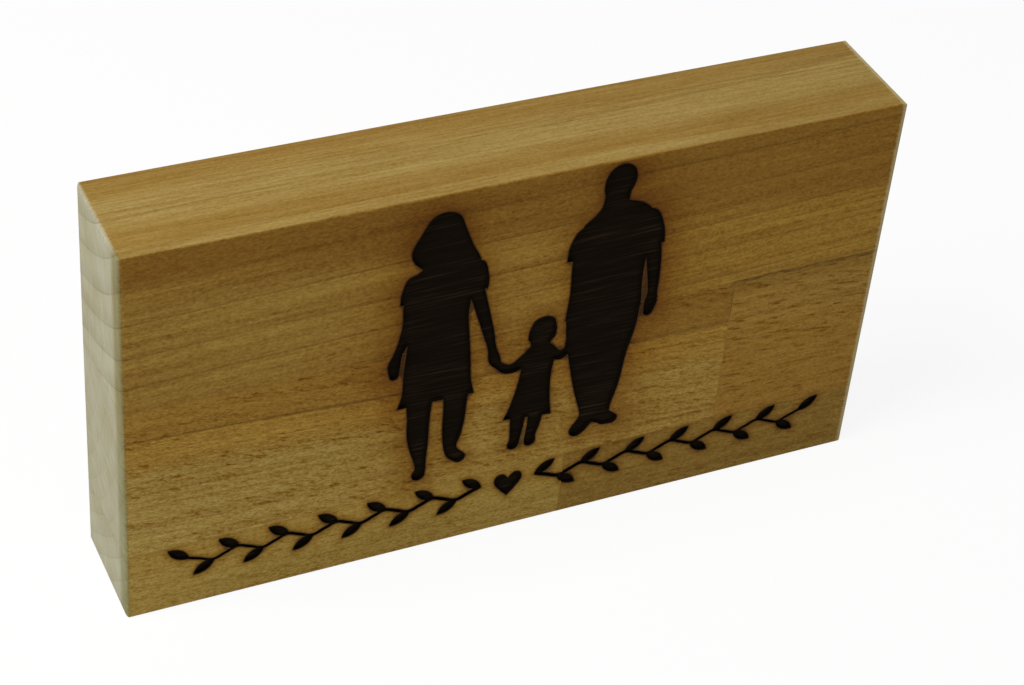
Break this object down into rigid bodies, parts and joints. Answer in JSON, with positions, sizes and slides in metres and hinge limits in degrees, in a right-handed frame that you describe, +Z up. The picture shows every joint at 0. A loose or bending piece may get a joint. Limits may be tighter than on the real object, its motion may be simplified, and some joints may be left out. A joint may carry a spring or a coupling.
{
  "type": "engraved wooden plaque",
  "caption": "Free-standing plaque of edge-glued, finger-jointed beech staves, with a family and a running vine engraved in its front face.",
  "frame": {"origin": "middle of the underside, on which the plaque stands", "axes": "+X along the plaque's length to the right as seen from the front, +Y through its thickness from front to back, +Z up; the engraved front faces -Y"},
  "size_m": [0.18, 0.0274, 0.098],
  "materials": {
    "top_beech": "oiled beech, golden brown, satin",
    "middle_left_beech": "oiled beech with a reddish band and short flecks, satin",
    "middle_right_beech": "oiled beech with flecks throughout, satin",
    "bottom_left_beech": "oiled beech, pale, satin",
    "bottom_right_beech": "oiled beech, brown, satin",
    "wood_glue": "thin dried line of brown wood glue"
  },
  "bodies": {
    "root": {"top_stave": "top_beech", "middle_left_stave": "middle_left_beech", "middle_right_stave": "middle_right_beech", "bottom_left_stave": "bottom_left_beech", "bottom_right_stave": "bottom_right_beech", "upper_glue_line": "wood_glue", "lower_glue_line": "wood_glue", "middle_end_glue_line": "wood_glue", "bottom_end_glue_line": "wood_glue"}
  },
  "joints": []
}
